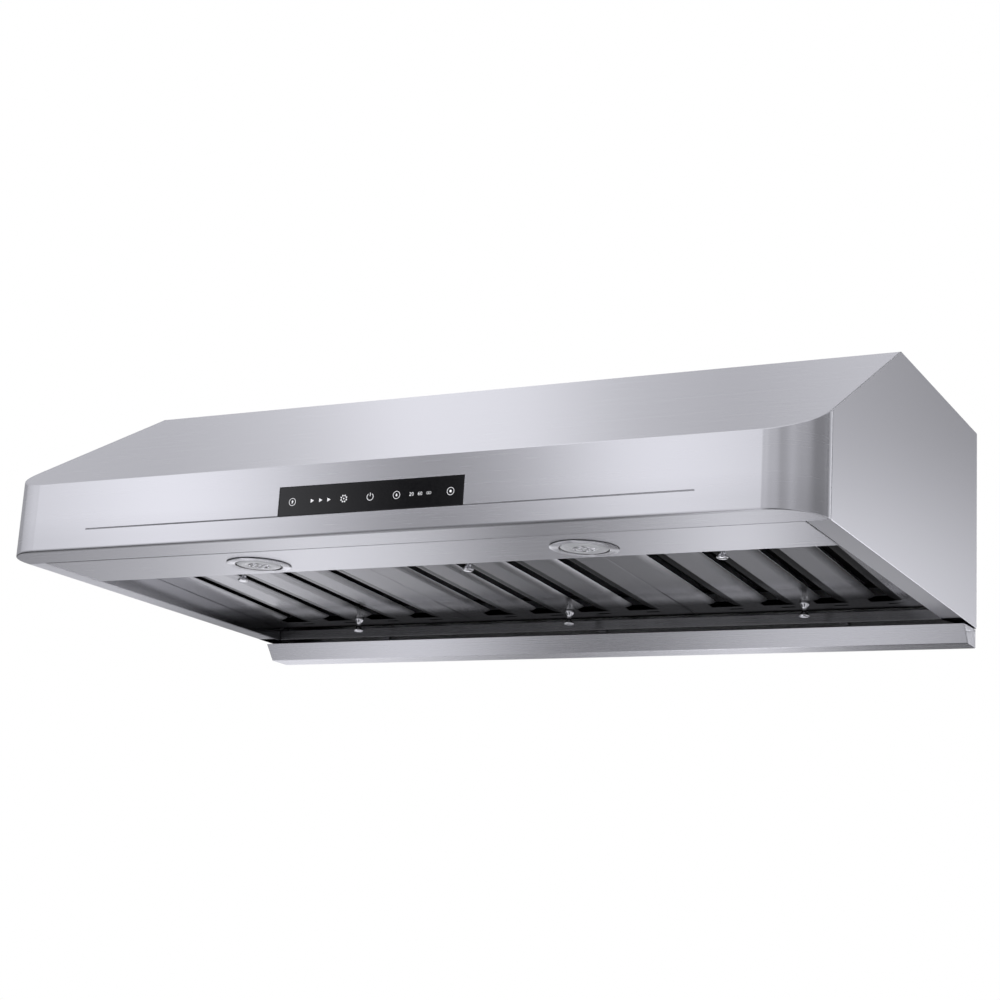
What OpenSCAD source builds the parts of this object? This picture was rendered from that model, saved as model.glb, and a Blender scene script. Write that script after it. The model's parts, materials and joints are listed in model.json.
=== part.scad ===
// Under-cabinet range hood: a folded stainless shell with a sloped face,
// twin centrifugal blowers, three drop-down baffle filters and an oil tray.
// Built from its front bottom edge, then placed on the centre of the four
// cabinet screw holes in the top panel. +X is the cook's right, +Y the wall.

/* [Shell] */
// Width over the side panels
body_w = 900; // [860:5:940]
// Depth from the fascia to the wall
body_d = 565; // [560:1:575]
// Height of the shell without the oil tray
body_h = 223; // [218:1:230]
// Height of the upright front fascia
fascia_h = 72.7; // [68:0.1:78]
// Distance from the fascia to where the top turns flat
slope_run = 261; // [250:1:265]
// Radius of the two front corners
corner_r = 48; // [44:1:49]
// Thickness of the folded sheet
sheet = 1.2; // [1:0.1:1.5]

/* [Underside] */
// Width of the flat lip under each side
side_lip = 23; // [20:1:24]
// Depth of the lip under the fascia
front_lip = 50; // [50:1:52]
// Rear edge of the panel that carries the lamps
light_panel_end = 146; // [142:1:147]
// Distance of each lamp from the centre
lamp_x = 187; // [150:1:220]
// Diameter of the lamp bezel
lamp_d = 68; // [66:1:72]

/* [Controls] */
// Width of the black touch glass
glass_w = 206; // [190:1:210]
// Height of the black touch glass
glass_h = 29; // [26:1:29]

/* [Filters] */
// Width of the air gap between two strips
slot_gap = 12; // [11:0.5:13]
// Centre distance of the air gaps
slot_pitch = 61; // [60:0.5:62]
// Length of the pull knobs
knob_l = 16.5; // [14:0.5:17]

/* [Oil tray] */
// Depth of the tray below the shell
tray_h = 22; // [18:1:24]

/* [Blowers] */
// Outer radius of the blower wheels
wheel_r = 84; // [78:1:85]
// Number of blades on each wheel
blades = 30; // [24:1:36]
// Outer radius of the duct collar
collar_r = 88; // [85:1:90]
// Height of the duct collar above the top panel
collar_h = 28; // [25:1:30]

/* [Hidden] */
$fn = 72;

hw = body_w / 2;
slope = (body_h - fascia_h) / slope_run;
slope_a = atan(slope);
inner_x = hw - side_lip;              // inner face line of the side lips
wall_top = 34;                        // top of the upstands round the filters
lip_end = 500;                        // rear end of the side lips

// cabinet screw pattern in the top panel, which is also the frame's origin
screw_x = 400;
screw_y = [290, 530];
org = [0, 410, body_h];

// filters
f_pitch = (2 * inner_x - 0.2) / 3;
f_w = f_pitch - 1.2;
f_gauge = 1;
f_slope = 0.0385;
f_tilt = atan(f_slope);
function f_plane(y) = 25 - f_slope * (y - 250);
hinge_y = 508;
hinge_drop = 5.2;                     // hinge axis above the strips' underside
hinge_z = f_plane(hinge_y) + hinge_drop / cos(f_tilt);
f_front = -353;                       // front edge, along the filter
f_rear = 3.5;
slot_front = -338;
slot_rear = -28;
fold_rear = -43;                      // where the folded edge is cut off
fold_l = 10;                          // width of the folded edge, left of a gap
fold_r = 15;                          // width of the rolled edge, right of a gap
slots = [for (i = [-1.5:1:1.5]) i * slot_pitch - 4];
knob_at = [-290.2, -38];
ear_x = [-90, 90];
f_wall = 14;                          // height of the filter's side flanges

// lamps
lamp_y = 104;
// controls
glass_x = 5;
glass_z = 36;
groove_z = 21.3;
// blowers
bl_x = 235;
bl_y = 385;
bl_z0 = 95;
bl_z1 = 170;
wheel_z0 = 102;
wheel_z1 = 164;
inlet_r = 66;
shaft_r = 4;
motor_r = 44;
motor_h = 38;
post_at = [[95, 60], [95, -50], [-70, -60], [-70, 60]];
// duct outlet
duct_y = 450;
man_x = 95;
man_y = [355, 545];
rod_z = 13;                           // damper rod above the top panel
flap_r = collar_r - 2.5;

module plan(inset = 0) {
  translate([-hw + inset, corner_r]) square([body_w - 2 * inset, body_d - corner_r]);
  translate([-hw + corner_r, inset]) square([body_w - 2 * corner_r, corner_r]);
  for (s = [-1, 1]) translate([s * (hw - corner_r), corner_r]) circle(r = corner_r - inset);
}

// a YZ outline drawn out along X
module along_x(x0, x1) {
  translate([x0, 0, 0]) rotate([90, 0, 90]) linear_extrude(height = x1 - x0) children();
}

module rod_x(x0, x1, r) {
  translate([x0, 0, 0]) rotate([0, 90, 0]) cylinder(r = r, h = x1 - x0);
}

module front_fascia() color("silver") {
  difference() {
    union() {
      intersection() {
        linear_extrude(height = body_h) difference() { plan(0); plan(sheet); }
        along_x(-hw - 1, hw + 1) polygon([[-1, -1], [front_lip, -1],
          [front_lip, fascia_h + slope * front_lip], [-1, fascia_h - slope]]);
      }
      linear_extrude(height = sheet) intersection() {
        plan(0);
        translate([-hw, 0]) square([body_w, front_lip]);
      }
      translate([-inner_x + 1, front_lip - sheet, 0]) cube([2 * inner_x - 2, sheet, 14]);
    }
    translate([glass_x - glass_w / 2 - 0.4, -1, glass_z - glass_h / 2 - 0.4])
      cube([glass_w + 0.8, 5, glass_h + 0.8]);
    translate([-335, -1, groove_z - 0.6]) cube([675, 1.5, 1.2]);
    for (x = [-380, -130, 130, 380])
      translate([x, front_lip - 3, 8]) rotate([-90, 0, 0]) cylinder(r = 2.1, h = 6);
  }
}

module top_panel() color("silver") {
  difference() {
    intersection() {
      along_x(-hw, hw) polygon([[0, fascia_h], [slope_run, body_h], [body_d, body_h],
        [body_d, body_h - sheet],
        [slope_run + sheet * (1 / cos(slope_a) - 1) / slope, body_h - sheet],
        [0, fascia_h - sheet / cos(slope_a)]]);
      linear_extrude(height = body_h + 1) plan(sheet);
    }
    for (x = [-1, 1], y = screw_y)
      translate([x * screw_x, y, body_h - 5]) cylinder(r = 3, h = 10);
    translate([0, duct_y, body_h - 5]) cylinder(r = collar_r - sheet, h = 10);
    translate([412, 410, body_h - 5]) cylinder(r = 11.1, h = 10);
    for (a = [45:90:315]) translate([0, duct_y, body_h - 5]) rotate([0, 0, a])
      translate([collar_r + 9, 0, 0]) cylinder(r = 2.1, h = 10);
  }
}

module side_panel() {
  along_x(hw - sheet, hw) polygon([[front_lip, 0], [body_d, 0], [body_d, body_h],
    [slope_run, body_h], [front_lip, fascia_h + slope * front_lip]]);
  translate([inner_x, front_lip, 0]) cube([side_lip, lip_end - front_lip, sheet]);
  translate([inner_x, front_lip, 0]) cube([sheet, 512 - front_lip, wall_top]);
}
module side_panel_right() color("silver") side_panel();
module side_panel_left() color("silver") mirror([1, 0, 0]) side_panel();

module back_panel() color("gainsboro")
  translate([-hw + sheet, body_d - sheet, 0]) cube([body_w - 2 * sheet, sheet, body_h - sheet]);

module light_panel() color("silver") {
  x = inner_x - 1;
  y = front_lip + 0.6;
  difference() {
    union() {
      translate([-x, y, 0]) cube([2 * x, light_panel_end - y, sheet]);
      translate([-x, y, 0]) cube([2 * x, sheet, 14]);
      translate([-x, light_panel_end - sheet, 0]) cube([2 * x, sheet, wall_top]);
    }
    for (s = [-1, 1]) translate([s * lamp_x, lamp_y, -1]) cylinder(r = lamp_d / 2 - 3, h = 4);
    for (x = [-380, -130, 130, 380])
      translate([x, front_lip - 3, 8]) rotate([-90, 0, 0]) cylinder(r = 2.1, h = 6);
  }
}

// shelf over the rear of the filters
rail_z = 38;
module hinge_rail() color("lightgray")
  translate([-inner_x - 1, hinge_y - 5, rail_z]) cube([2 * inner_x + 2, body_d - sheet - hinge_y + 5, sheet]);

// lugs under the shelf that carry the filters' hinge pins
module hinge_lugs() color("lightgray")
  for (f = [-1, 0, 1], e = ear_x) translate([f * f_pitch + e, hinge_y, hinge_z])
    difference() {
      union() {
        rod_x(-1.2, 1.2, 3.8);
        translate([-1.2, -3.8, 0]) cube([2.4, 6.8, rail_z - hinge_z]);
      }
      rod_x(-2, 2, 2.03);
    }

module filter_pins() color("gray")
  for (f = [-1, 0, 1], e = ear_x) translate([f * f_pitch + e, hinge_y, hinge_z])
    rod_x(-6, 6, 2);

// rear lip that the filters drain over, with slots down to the oil tray
module rear_rail() color("silver") {
  difference() {
    union() {
      translate([-inner_x + 0.5, 512.6, 1.4]) cube([2 * inner_x - 1, sheet, 11.2]);
      translate([-inner_x + 0.5, 512.6, 11.4]) cube([2 * inner_x - 1, body_d - sheet - 512.6, sheet]);
    }
    for (x = [-355:71:355]) translate([x - 24, 533, 10]) cube([48, 12, 5]);
  }
}

module lamp_bezel(s) color("silver") translate([s * lamp_x, lamp_y, 0]) rotate_extrude()
  polygon([[24.6, 0.6], [24.6, -1.2], [25.4, -1.6], [26.4, -1.4], [32, -0.9], [33.6, -0.5],
    [lamp_d / 2, 0], [lamp_d / 2 - 3.4, 0], [lamp_d / 2 - 3.4, 12], [lamp_d / 2 - 4.6, 12],
    [lamp_d / 2 - 4.6, 0.6]]);
module lamp_bezel_left() lamp_bezel(-1);
module lamp_bezel_right() lamp_bezel(1);

module lamp_lens(s) color("white") translate([s * lamp_x, lamp_y, 0]) rotate_extrude()
  polygon([[0, 0.4], [0, -2.6], [14, -2.5], [20, -2.3], [23.2, -1.9], [24.2, -1.2], [24.2, 0.6],
    [28.6, 0.8], [28.6, 1.8], [22, 1.8], [22, 0.4]]);
module lamp_lens_left() lamp_lens(-1);
module lamp_lens_right() lamp_lens(1);

module lamp_board(s) color("seagreen") translate([s * lamp_x, lamp_y, 5]) {
  cylinder(r = 24, h = 1.6);
  for (a = [0:60:300]) rotate([0, 0, a]) translate([8.75, -1.75, -1]) cube([3.5, 3.5, 1.2]);
}
module lamp_board_left() lamp_board(-1);
module lamp_board_right() lamp_board(1);

module lamp_housing(s) color("dimgray") translate([s * lamp_x, lamp_y, 0]) {
  translate([0, 0, 6.6]) cylinder(r = 27, h = 6);
  for (x = [-21:6:21]) translate([x - 0.8, -sqrt(27 * 27 - x * x) + 1, 12]) cube([1.6, 2 * sqrt(27 * 27 - x * x) - 2, 12]);
}
module lamp_housing_left() lamp_housing(-1);
module lamp_housing_right() lamp_housing(1);

module control_glass() color("black")
  translate([glass_x - glass_w / 2, 0, glass_z - glass_h / 2]) cube([glass_w, 3, glass_h]);

module control_board() color("seagreen") {
  translate([glass_x - 98, 5.5, glass_z - 12]) cube([196, 1.6, 24]);
  for (x = [-80:20:80]) translate([glass_x + x - 4, 3.8, glass_z - 4]) cube([8, 2, 8]);
}

module control_housing() color("dimgray") difference() {
  translate([glass_x - glass_w / 2 - 8, sheet, glass_z - glass_h / 2 - 5])
    cube([glass_w + 16, 21, glass_h + 10]);
  translate([glass_x - glass_w / 2 - 0.5, 0, glass_z - glass_h / 2 - 0.5])
    cube([glass_w + 1, 20, glass_h + 1]);
}

// filter's own frame: origin on its hinge axis, Y to the rear, Z square to it
module at_filter(f) translate([f * f_pitch, hinge_y, hinge_z]) rotate([-f_tilt, 0, 0]) children();

module filter_face() color("silver") {
  z0 = -hinge_drop;
  g = f_gauge;
  difference() {
    union() {
      translate([-f_w / 2, f_front, z0]) cube([f_w, f_rear - f_front, g]);
      for (s = [-1, 1]) translate([s * (f_w - g) / 2 - g / 2, f_front, z0]) cube([g, -14 - f_front, f_wall - z0]);
      translate([-f_w / 2, f_front, z0]) cube([f_w, g, f_wall - z0]);
      translate([-f_w / 2, -15, z0]) cube([f_w, g, 10]);
      for (e = ear_x, d = [-3.7, 3.7]) translate([e + d, 0, 0]) {
        rod_x(-1.5, 1.5, 3.8);
        translate([-1.5, -3.8, z0 + 0.5]) cube([3, 7.3, -z0 - 0.5]);
      }
    }
    for (x = slots) translate([x - slot_gap / 2 - fold_l, slot_front, z0 - 1])
      cube([slot_gap + fold_l + fold_r, slot_rear - slot_front, 3]);
    for (x = slots) translate([x + 1, -20, z0 - 1]) cube([16, 4, 3]);
    for (y = knob_at) translate([0, y, z0 - 1]) cylinder(r = 2.15, h = 4);
    for (e = ear_x) translate([e, 0, 0]) rod_x(-8, 8, 2.06);
  }
  // folded edge on one side of each gap, rolled edge on the other
  for (x = slots) {
    a = x - slot_gap / 2 - fold_l;
    translate([0, fold_rear, 0]) rotate([90, 0, 0]) linear_extrude(height = fold_rear - slot_front)
      polygon([[a, z0], [a + 2.5, z0 + 0.25], [a + 5.5, z0 + 1.1], [a + 8, z0 + 2.3], [a + fold_l, z0 + 3.7],
        [a + fold_l - 0.7, z0 + 4.4], [a + 7.4, z0 + 3.1], [a + 5, z0 + 2], [a + 2.3, z0 + 1.25], [a, z0 + g]]);
    b = x + slot_gap / 2 + fold_r;
    translate([0, slot_rear, 0]) rotate([90, 0, 0]) linear_extrude(height = slot_rear - slot_front)
      polygon([[b, z0], [b, z0 + g], [b - 3.5, z0 + 1.6], [b - 9, z0 + 2.3],
        [b - fold_r + 0.6, z0 + 4], [b - fold_r, z0 + 3.2], [b - 9.2, z0 + 1.35], [b - 3.5, z0 + 0.65]]);
  }
}

module filter_baffles() color("dimgray") {
  for (x = slots) translate([0, -20, 0]) rotate([90, 0, 0]) linear_extrude(height = 325)
    polygon([[x - 20, f_wall - 0.2], [x, f_wall + 3], [x + 20, f_wall - 0.2], [x + 20, f_wall + 0.8],
      [x, f_wall + 4], [x - 20, f_wall + 0.8]]);
  for (y = [-349, -30]) translate([-f_w / 2 + f_gauge, y, f_wall - 1.2])
    cube([f_w - 2 * f_gauge, 10, 1.2]);
}

module filter_knobs() color("white")
  for (y = knob_at) translate([0, y, -hinge_drop]) {
    rotate([180, 0, 0]) rotate_extrude()
      polygon([[0, 0], [5.6, 0], [5.6, 2.4], [4.8, 3.6], [3.3, 5.2], [2.7, knob_l / 2 + 0.4], [3.3, knob_l - 4.4],
        [4.8, knob_l - 2.4], [6, knob_l - 1.7], [6, knob_l - 0.5], [5.5, knob_l], [0, knob_l]]);
    cylinder(r = 2, h = 8);
    translate([0, 0, f_gauge]) cylinder(r = 4, h = 3.2);
  }

module filter_catch() color("lightgray") {
  translate([-12, f_front - 1.2, 0]) cube([24, 1.2, 12]);
  translate([0, f_front - 3.4, 7]) rod_x(-12, 12, 2.6);
}

module filter_left_face() at_filter(-1) filter_face();
module filter_left_baffles() at_filter(-1) filter_baffles();
module filter_left_knobs() at_filter(-1) filter_knobs();
module filter_left_catch() at_filter(-1) filter_catch();
module filter_centre_face() at_filter(0) filter_face();
module filter_centre_baffles() at_filter(0) filter_baffles();
module filter_centre_knobs() at_filter(0) filter_knobs();
module filter_centre_catch() at_filter(0) filter_catch();
module filter_right_face() at_filter(1) filter_face();
module filter_right_baffles() at_filter(1) filter_baffles();
module filter_right_knobs() at_filter(1) filter_knobs();
module filter_right_catch() at_filter(1) filter_catch();

module oil_tray() color("silver") {
  y0 = body_d - 49;
  yb = body_d - 33;
  difference() {
    along_x(-hw + 1, hw - 1) polygon([[y0, -3], [yb, -tray_h], [body_d, -tray_h], [body_d, -1],
      [body_d - 2.4, -1], [y0 + 2, -3]]);
    along_x(-hw + 1 + sheet, hw - 1 - sheet) polygon([[y0 + 1.6, 1], [y0 + 1.6, -3], [yb + 0.6, -tray_h + sheet],
      [body_d - sheet, -tray_h + sheet], [body_d - sheet, 1]]);
  }
}

module tray_clips() color("gray")
  for (x = [-300, 0, 300]) translate([x - 6, 0, 0]) {
    along_x(0, 12) polygon([[556, 11.4], [556, 10.4], [562, 10.4], [562, -6], [560.6, -9], [561.4, -12],
      [560.4, -12], [559.6, -9], [561, -6], [561, 9.4], [555, 9.4], [555, 11.4]]);
  }

// blower casing outline round its wheel, four arcs and the outlet neck
module casing(off = 0, neck = 0) {
  intersection() { translate([0, 10]) circle(r = 130 - off); translate([0, 10]) square([200, 200]); }
  intersection() { translate([10, 10]) circle(r = 120 - off); translate([10, -190]) square([200, 200]); }
  intersection() { translate([10, 0]) circle(r = 110 - off); translate([-190, -200]) square([200, 200]); }
  intersection() { translate([-2, 0]) circle(r = 98 - off); translate([-202, 0]) square([200, 200]); }
  translate([-2, -1]) square([13, 12]);
  translate([-2.5, 0]) square([3, 97 - off]);
  translate([man_x - bl_x - neck, 80 + off]) square([bl_x - man_x + neck + 0.5, 60 - 2 * off]);
}

module at_blower(s) { if (s > 0) translate([bl_x, bl_y, 0]) children(); else mirror([1, 0, 0]) translate([bl_x, bl_y, 0]) children(); }

module volute_base() color("lightgray") {
  difference() {
    translate([0, 0, bl_z0]) linear_extrude(height = sheet) casing();
    translate([0, 0, bl_z0 - 1]) cylinder(r = inlet_r, h = 4);
  }
  rotate_extrude() polygon([[inlet_r + 0.2, bl_z0 + 0.2], [inlet_r + 0.2, bl_z0 - 2], [inlet_r + 2.4, bl_z0 - 4.6],
    [inlet_r + 6, bl_z0 - 5.4], [inlet_r + 6, bl_z0 - 4.4], [inlet_r + 3, bl_z0 - 3.7],
    [inlet_r + 1.4, bl_z0 - 1.6], [inlet_r + 1.4, bl_z0 + 0.2]]);
}
module volute_scroll() color("lightgray")
  translate([0, 0, bl_z0 + sheet]) linear_extrude(height = bl_z1 - bl_z0 - sheet)
    difference() { casing(); casing(sheet, 1); }
module volute_cover() color("lightgray") difference() {
  translate([0, 0, bl_z1]) linear_extrude(height = sheet) casing();
  translate([0, 0, bl_z1 - 1]) cylinder(r = 9, h = 4);
}

module impeller() color("gainsboro") {
  r0 = wheel_r - 14;
  difference() {
    union() {
      translate([0, 0, wheel_z1 - 1.6]) cylinder(r = wheel_r - 1, h = 1.6);
      translate([0, 0, wheel_z1 - 16]) cylinder(r = 13, h = 15);
      difference() {
        translate([0, 0, wheel_z0]) cylinder(r = wheel_r, h = 2);
        translate([0, 0, wheel_z0 - 1]) cylinder(r = wheel_r - 10, h = 4);
      }
      for (i = [0:blades - 1]) rotate([0, 0, i * 360 / blades])
        translate([0, 0, wheel_z0 + 1]) linear_extrude(height = wheel_z1 - wheel_z0 - 2)
          polygon([[r0, 0], [r0 + 4, 2.6], [r0 + 8, 4], [r0 + 12.5, 4.6], [r0 + 12.5, 5.6],
            [r0 + 7.8, 5], [r0 + 3.6, 3.6], [r0 - 0.4, 0.9]]);
    }
    translate([0, 0, wheel_z1 - 20]) cylinder(r = shaft_r + 0.03, h = 30);
  }
}
module motor_shaft() color("gray") translate([0, 0, wheel_z1 - 15]) cylinder(r = shaft_r, h = 36);

module motor() color("dimgray") difference() {
  union() {
    translate([0, 0, bl_z1 + sheet]) cylinder(r = motor_r + 6, h = 2);
    translate([0, 0, bl_z1 + sheet + 2]) cylinder(r = motor_r, h = motor_h - 8);
    translate([0, 0, bl_z1 + sheet + motor_h - 6]) cylinder(r = motor_r - 12, h = 4);
  }
  translate([0, 0, bl_z1]) cylinder(r = shaft_r + 0.06, h = 18);
}

module volute_base_left() at_blower(-1) volute_base();
module volute_scroll_left() at_blower(-1) volute_scroll();
module volute_cover_left() at_blower(-1) volute_cover();
module impeller_left() at_blower(-1) impeller();
module motor_left() at_blower(-1) motor();
module motor_shaft_left() at_blower(-1) motor_shaft();
module volute_base_right() at_blower(1) volute_base();
module volute_scroll_right() at_blower(1) volute_scroll();
module volute_cover_right() at_blower(1) volute_cover();
module impeller_right() at_blower(1) impeller();
module motor_right() at_blower(1) motor();
module motor_shaft_right() at_blower(1) motor_shaft();

module blower_posts() color("gray")
  for (s = [-1, 1]) at_blower(s) for (p = post_at)
    translate([p[0], p[1], bl_z1 + sheet]) cylinder(r = 5, h = body_h - bl_z1 - 2 * sheet);

module outlet_manifold() color("lightgray") difference() {
  translate([-man_x, man_y[0], bl_z0]) cube([2 * man_x, man_y[1] - man_y[0], body_h - sheet - bl_z0]);
  translate([-man_x + sheet, man_y[0] + sheet, bl_z0 + sheet])
    cube([2 * man_x - 2 * sheet, man_y[1] - man_y[0] - 2 * sheet, body_h]);
  translate([-man_x - 5, bl_y + 80 + sheet, bl_z0 + 2 * sheet])
    cube([2 * man_x + 10, 60 - 2 * sheet, bl_z1 - bl_z0 - 3 * sheet]);
}

module at_duct() translate([0, duct_y, body_h]) children();

module duct_collar() color("silver") at_duct() {
  difference() {
    union() {
      cylinder(r = collar_r, h = collar_h);
      cylinder(r = collar_r + 16, h = sheet);
    }
    translate([0, 0, -1]) cylinder(r = collar_r - sheet, h = collar_h + 2);
    translate([0, 0, rod_z]) rod_x(-collar_r - 5, collar_r + 5, 1.6);
    for (a = [45:90:315]) rotate([0, 0, a]) translate([collar_r + 9, 0, -1]) cylinder(r = 2.1, h = 4);
  }
  translate([0, 0, rod_z - 3]) difference() {
    cylinder(r = collar_r - sheet + 0.1, h = 1.2);
    translate([0, 0, -1]) cylinder(r = collar_r - 4.5, h = 4);
  }
}
module damper_rod() color("gray") at_duct() translate([0, 0, rod_z]) rod_x(-collar_r + 0.3, collar_r - 0.3, 1.5);

// half-round flap; s is -1 for the front half, 1 for the rear half
module damper_flap(s, knuckles) color("lightgray") at_duct() translate([0, 0, rod_z]) {
  difference() {
    translate([0, 0, -0.8]) cylinder(r = flap_r, h = 0.8);
    translate([-100, s > 0 ? -100 : -3.6, -2]) cube([200, 103.6, 4]);
    for (x = [-1, 1]) translate([x * (flap_r + 1) - 4, -8, -2]) cube([8, 16, 4]);
  }
  for (x = knuckles) difference() {
    union() {
      translate([x, 0, 0]) rod_x(-7, 7, 2.8);
      translate([x - 7, s > 0 ? 1.9 : -4.6, -0.8]) cube([14, 2.7, 0.8]);
    }
    translate([x, 0, 0]) rod_x(-8, 8, 1.56);
  }
}
module damper_flap_front() damper_flap(-1, [-58, 22]);
module damper_flap_rear() damper_flap(1, [-22, 58]);

module junction_box() color("lightgray") difference() {
  translate([384, 340, 160]) cube([56, 140, body_h - sheet - 160]);
  translate([384 + sheet, 340 + sheet, 159]) cube([56 - 2 * sheet, 140 - 2 * sheet, body_h - 2 * sheet - 159]);
  translate([412, 410, 200]) cylinder(r = 11.1, h = 40);
}
module junction_box_cover() color("gray") translate([383, 339, 158.5]) cube([58, 142, 1.5]);

module power_module() color("dimgray") {
  translate([-440, 340, 160]) cube([56, 140, 50]);
  for (y = [350, 460]) translate([-432, y, 210]) cube([40, 10, body_h - sheet - 210]);
}

module capacitors() color("whitesmoke")
  for (x = [-60, 60]) translate([x, 330, 172]) cylinder(r = 14, h = body_h - sheet - 172);

// round cable along a list of corner points
module cable(p, r = 3) {
  for (i = [0:len(p) - 2]) {
    v = p[i + 1] - p[i];
    l = norm(v);
    translate(p[i]) rotate([0, acos(v[2] / l), atan2(v[1], v[0])]) cylinder(r = r, h = l, $fn = 24);
  }
  if (len(p) > 2) for (i = [1:len(p) - 2]) translate(p[i]) sphere(r = r, $fn = 24);
}
module wiring_harness() color("black") {
  cable([[lamp_x, lamp_y, 25], [lamp_x, lamp_y, 45], [lamp_x, 66, 45], [-hw + 14, 66, 45],
    [-hw + 14, 400, 45], [-hw + 14, 400, 159.8]]);
  cable([[-lamp_x, lamp_y, 25], [-lamp_x, lamp_y, 45], [-lamp_x, 66, 45]]);
  cable([[glass_x, 22.4, 45], [glass_x, 66, 45]]);
  cable([[-410, 339.8, 205], [-410, 310, 205], [bl_x, 310, 205], [bl_x, bl_y - motor_r - 0.2, 205]], 2.5);
  cable([[-bl_x, 310, 205], [-bl_x, bl_y - motor_r - 0.2, 205]], 2.5);
  cable([[412, 480.2, 190], [412, 555, 190], [-412, 555, 190], [-412, 480.2, 190]]);
}

module shell_screws() color("gray") {
  for (x = [-380, -130, 130, 380]) translate([x, 0, 8]) {
    translate([0, front_lip - 6, 0]) rotate([-90, 0, 0]) cylinder(r = 2, h = 8);
    translate([0, front_lip + 0.6 + sheet, 0]) rotate([-90, 0, 0]) cylinder(r = 3.6, h = 2.4);
  }
  for (a = [45:90:315]) at_duct() rotate([0, 0, a]) translate([collar_r + 9, 0, 0]) {
    translate([0, 0, -6]) cylinder(r = 2, h = 7.5);
    translate([0, 0, sheet]) cylinder(r = 4, h = 2.2);
  }
}

module placed() translate(-org) children();

placed() front_fascia();
placed() top_panel();
placed() side_panel_left();
placed() side_panel_right();
placed() back_panel();
placed() light_panel();
placed() hinge_rail();
placed() hinge_lugs();
placed() rear_rail();
placed() lamp_bezel_left();
placed() lamp_lens_left();
placed() lamp_board_left();
placed() lamp_housing_left();
placed() lamp_bezel_right();
placed() lamp_lens_right();
placed() lamp_board_right();
placed() lamp_housing_right();
placed() control_glass();
placed() control_board();
placed() control_housing();
placed() filter_left_face();
placed() filter_left_baffles();
placed() filter_left_knobs();
placed() filter_left_catch();
placed() filter_centre_face();
placed() filter_centre_baffles();
placed() filter_centre_knobs();
placed() filter_centre_catch();
placed() filter_right_face();
placed() filter_right_baffles();
placed() filter_right_knobs();
placed() filter_right_catch();
placed() filter_pins();
placed() oil_tray();
placed() tray_clips();
placed() volute_base_left();
placed() volute_scroll_left();
placed() volute_cover_left();
placed() impeller_left();
placed() motor_left();
placed() motor_shaft_left();
placed() volute_base_right();
placed() volute_scroll_right();
placed() volute_cover_right();
placed() impeller_right();
placed() motor_right();
placed() motor_shaft_right();
placed() blower_posts();
placed() outlet_manifold();
placed() duct_collar();
placed() damper_rod();
placed() damper_flap_front();
placed() damper_flap_rear();
placed() junction_box();
placed() junction_box_cover();
placed() power_module();
placed() capacitors();
placed() wiring_harness();
placed() shell_screws();
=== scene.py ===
import bpy, bmesh, json, math
from mathutils import Vector, Matrix

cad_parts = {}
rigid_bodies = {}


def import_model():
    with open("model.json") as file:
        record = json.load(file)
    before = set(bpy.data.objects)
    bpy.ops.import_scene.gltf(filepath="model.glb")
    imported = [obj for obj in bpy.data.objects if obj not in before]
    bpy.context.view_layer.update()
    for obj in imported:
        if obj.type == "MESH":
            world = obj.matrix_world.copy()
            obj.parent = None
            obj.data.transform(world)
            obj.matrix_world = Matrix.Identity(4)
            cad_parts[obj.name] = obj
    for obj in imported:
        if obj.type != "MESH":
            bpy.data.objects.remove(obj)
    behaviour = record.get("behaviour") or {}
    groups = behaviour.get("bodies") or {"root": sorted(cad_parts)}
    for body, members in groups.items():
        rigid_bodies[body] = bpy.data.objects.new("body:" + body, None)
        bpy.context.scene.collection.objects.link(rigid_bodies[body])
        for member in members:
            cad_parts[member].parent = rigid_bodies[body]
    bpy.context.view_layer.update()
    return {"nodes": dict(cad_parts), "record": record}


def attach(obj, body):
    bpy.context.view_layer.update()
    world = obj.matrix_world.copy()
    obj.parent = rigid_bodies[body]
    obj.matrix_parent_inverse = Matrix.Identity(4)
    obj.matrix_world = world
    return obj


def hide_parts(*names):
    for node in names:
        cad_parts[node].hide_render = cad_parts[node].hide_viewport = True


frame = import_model()
NODES = frame["nodes"]
MM = 0.001


def P(x, y, z):
    """Front and bottom millimetres to the row frame in metres."""
    return Vector((x * MM, (y - 410) * MM, (z - 223) * MM))


# ---------------------------------------------------------------- camera
scene = bpy.context.scene
scene.view_settings.view_transform = "Standard"
scene.view_settings.look = "None"
cam_data = bpy.data.cameras.new("camera")
cam_data.sensor_width = 36
cam_data.lens = 72.02
cam_data.clip_start = 0.05
cam_data.clip_end = 60
cam = bpy.data.objects.new("camera", cam_data)
scene.collection.objects.link(cam)
right = Vector((0.88979, 0.45246, 0.05953))
up = Vector((0.05763, -0.24080, 0.96886))
back = Vector((0.45271, -0.85866, -0.24033))
cam.matrix_world = Matrix((
    (right.x, up.x, back.x, 0.98724),
    (right.y, up.y, back.y, -2.00310),
    (right.z, up.z, back.z, -0.64528),
    (0, 0, 0, 1)))
scene.camera = cam

# ---------------------------------------------------------------- light
# The studio round the object. PHI is the angle about the X axis (0 towards the wall, 90 up,
# 180 to the front), and along each band the light changes with the direction's X part.
world = bpy.data.worlds.new("studio")
scene.world = world
world.use_nodes = True
wt = world.node_tree
wt.nodes.clear()


def wnode(kind, **kw):
    n = wt.nodes.new(kind)
    for k, v in kw.items():
        setattr(n, k, v)
    return n


def wmath(op, a, b=None):
    n = wnode("ShaderNodeMath", operation=op)
    for i, v in enumerate((a, b)):
        if v is None:
            continue
        if isinstance(v, (int, float)):
            n.inputs[i].default_value = v
        else:
            wt.links.new(v, n.inputs[i])
    return n.outputs[0]


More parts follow.
